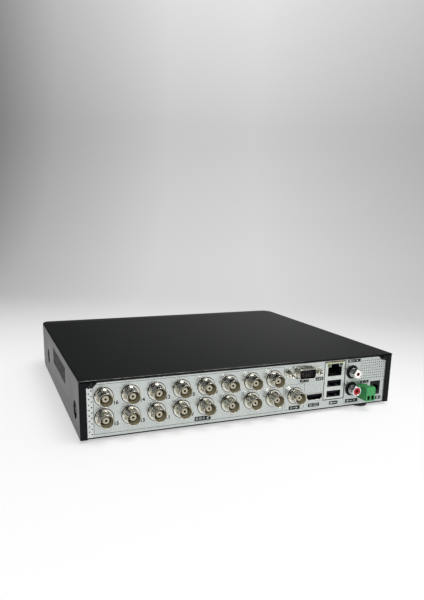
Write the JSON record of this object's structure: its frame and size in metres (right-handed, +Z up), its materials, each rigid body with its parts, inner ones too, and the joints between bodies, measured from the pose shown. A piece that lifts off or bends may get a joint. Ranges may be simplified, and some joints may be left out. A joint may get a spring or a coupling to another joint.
{
  "type": "dvr recorder",
  "caption": "Low flat video recorder: folded black cover, silver rear panel with coaxial video inputs, video outputs, network, USB, audio, alarm terminal and power inlet.",
  "frame": {"origin": "middle of the footprint, on the surface that the feet stand on", "axes": "+Z up; +Y towards the connector side (rear), -Y towards the bezel (front); X along the width"},
  "size_m": [0.255, 0.231, 0.0442],
  "materials": {
    "black_paint": "matt black powder coat with a fine grain",
    "silver_panel": "satin silver plated sheet",
    "bezel_plastic": "moulded, fine texture",
    "smoked_window": "smoked gloss",
    "nickel": "bright nickel plating",
    "chrome": "bright plating",
    "cream_insulator": "cream plastic",
    "yellowed_nickel": "warm nickel plating",
    "dark_plastic": "dark connector plastic",
    "black_plastic": "black connector plastic",
    "white_plastic": "white plastic",
    "red_plastic": "red plastic",
    "green_plastic": "green terminal plastic",
    "circuit_board": "solder-mask green",
    "zinc_plate": "zinc or tin plating",
    "black_screw": "blackened steel",
    "rubber": "black rubber",
    "aluminium": "plain aluminium",
    "cast_aluminium": "sand-grey casting",
    "disc_surface": "mirror polished disc"
  },
  "bodies": {
    "recorder": {"bnc_insulator_1": "cream_insulator", "bnc_insulator_2": "cream_insulator", "bnc_insulator_3": "cream_insulator", "bnc_insulator_4": "cream_insulator", "bnc_insulator_5": "cream_insulator", "bnc_insulator_6": "cream_insulator", "bnc_insulator_7": "cream_insulator", "bnc_insulator_8": "cream_insulator", "bnc_pair_1": "nickel", "bnc_pair_2": "nickel", "bnc_pair_3": "nickel", "bnc_pair_4": "nickel", "bnc_pair_5": "nickel", "bnc_pair_6": "nickel", "bnc_pair_7": "nickel", "bnc_pair_8": "nickel", "chassis_tray": "black_paint", "cover_screw_1": "black_screw", "cover_screw_2": "black_screw", "cover_screw_3": "black_screw", "cover_screw_4": "black_screw", "dc_inlet": "black_plastic", "dc_pin": "nickel", "foot_1": "rubber", "foot_2": "rubber", "foot_3": "rubber", "foot_4": "rubber", "front_bezel": "bezel_plastic", "front_board": "circuit_board", "front_window": "smoked_window", "hdd_base": "cast_aluminium", "hdd_lid": "aluminium", "hdmi_shell": "zinc_plate", "hdmi_tongue": "dark_plastic", "heat_sink": "aluminium", "lan_usb_insert": "dark_plastic", "lan_usb_shield": "zinc_plate", "main_board": "circuit_board", "rca_barrel_bottom": "chrome", "rca_barrel_top": "chrome", "rca_housing": "black_plastic", "rca_liner_bottom": "red_plastic", "rca_liner_top": "white_plastic", "rear_panel": "silver_panel", "rear_screw_1": "black_screw", "rear_screw_2": "black_screw", "terminal_header": "green_plastic", "top_cover": "black_paint", "vga_insert": "dark_plastic", "vga_jack_screw_1": "yellowed_nickel", "vga_jack_screw_2": "yellowed_nickel", "vga_shell": "yellowed_nickel", "video_out_bnc": "nickel", "video_out_insulator": "cream_insulator"},
    "plug": {"terminal_plug": "green_plastic"},
    "clamp_a": {"clamp_screw_1": "zinc_plate"},
    "clamp_b": {"clamp_screw_2": "zinc_plate"},
    "power_key": {"power_button": "bezel_plastic"},
    "disc": {"hdd_platter": "disc_surface"},
    "head_arm": {"hdd_head_arm": "aluminium"}
  },
  "joints": [
    {"name": "plug_pull", "type": "slide", "parent": "recorder", "child": "plug", "axis": [0, 1, 0], "range_m": [0, 0.009]},
    {"name": "clamp_turn_a", "type": "hinge", "parent": "plug", "child": "clamp_a", "pos_m": [-0.09889, 0.1119, 0.017], "axis": [0, 0, 1], "range_deg": [0, 810]},
    {"name": "clamp_turn_b", "type": "hinge", "parent": "plug", "child": "clamp_b", "pos_m": [-0.10271, 0.1119, 0.017], "axis": [0, 0, 1], "range_deg": [0, 810]},
    {"name": "power_press", "type": "slide", "parent": "recorder", "child": "power_key", "axis": [0, 1, 0], "range_m": [0, 0.0008], "stiffness_N_per_m": 500, "springref_m": -0.001},
    {"name": "disc_spin", "type": "hinge", "parent": "recorder", "child": "disc", "pos_m": [-0.0075, -0.0472, 0.0187], "axis": [0, 0, 1], "continuous": true},
    {"name": "arm_swing", "type": "hinge", "parent": "recorder", "child": "head_arm", "pos_m": [0.0525, -0.062, 0.0219], "axis": [0, 0, 1], "range_deg": [0, 34]}
  ]
}
